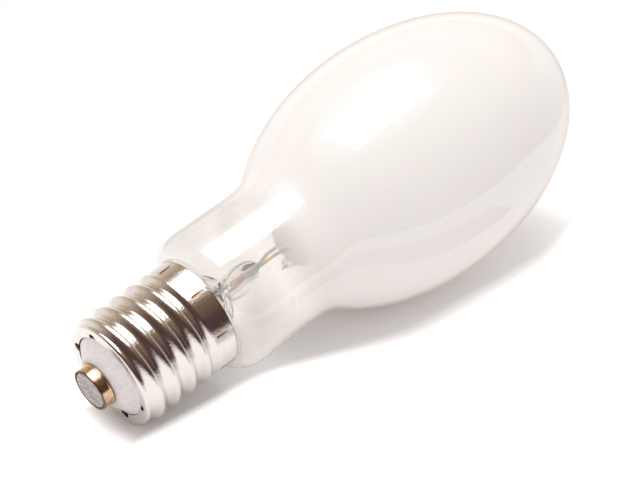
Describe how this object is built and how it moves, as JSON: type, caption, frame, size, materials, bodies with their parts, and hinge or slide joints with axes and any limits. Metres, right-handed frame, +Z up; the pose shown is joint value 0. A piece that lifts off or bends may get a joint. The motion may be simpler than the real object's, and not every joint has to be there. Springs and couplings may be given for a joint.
{
  "type": "blended light lamp",
  "caption": "Elliptical mercury and filament lamp with a white-coated glass bulb, clear neck and a large screw cap with a centre contact, lying on its side.",
  "frame": {"origin": "on the level surface that the lamp lies on, under the centre of its bounding box", "axes": "+Z up; +X level, from the cap to the crown; +Y level, square to the lamp's axis"},
  "size_m": [0.215, 0.0896, 0.0925],
  "materials": {
    "plated_brass": "polished nickel plate, slightly worn",
    "brass": "polished, with a dark oxidised edge",
    "solder": "grey, uneven",
    "insulator": "light grey, satin",
    "cement": "orange-brown basing cement, matt",
    "coated_glass": "glass with a white coat inside, clear at the neck",
    "clear_glass": "clear",
    "quartz": "clear fused quartz",
    "lead_wire": "bright wire",
    "copper_seal": "copper-clad sealing wire, red in the glass",
    "support_wire": "nickel-plated wire and strip",
    "bead_ceramic": "white, matt",
    "tungsten": "dark grey",
    "foil": "bright thin strip",
    "resistor_body": "enamelled, green"
  },
  "bodies": {
    "root": {"cap_shell": "plated_brass", "center_contact": "brass", "contact_solder": "solder", "side_solder": "solder", "cap_insulator": "insulator", "cap_cement": "cement", "outer_bulb": "coated_glass", "stem_glass": "clear_glass", "exhaust_tube": "clear_glass", "arc_tube": "quartz", "center_lead": "lead_wire", "side_lead": "lead_wire", "front_seal_wire": "copper_seal", "rear_seal_wire": "copper_seal", "frame_rod": "support_wire", "short_lead": "support_wire", "lower_hook_1": "support_wire", "lower_hook_2": "support_wire", "lower_hook_3": "support_wire", "upper_hook_1": "support_wire", "upper_hook_2": "support_wire", "upper_hook_3": "support_wire", "upper_hook_4": "support_wire", "lower_arc_lead": "support_wire", "upper_arc_lead": "support_wire", "starter_lead": "support_wire", "lower_strap": "support_wire", "upper_strap": "support_wire", "lower_bead": "bead_ceramic", "upper_bead": "bead_ceramic", "filament": "tungsten", "lower_electrode": "tungsten", "upper_electrode": "tungsten", "starting_electrode": "tungsten", "lower_foil": "foil", "starter_foil": "foil", "upper_foil": "foil", "starting_resistor": "resistor_body"}
  },
  "joints": []
}
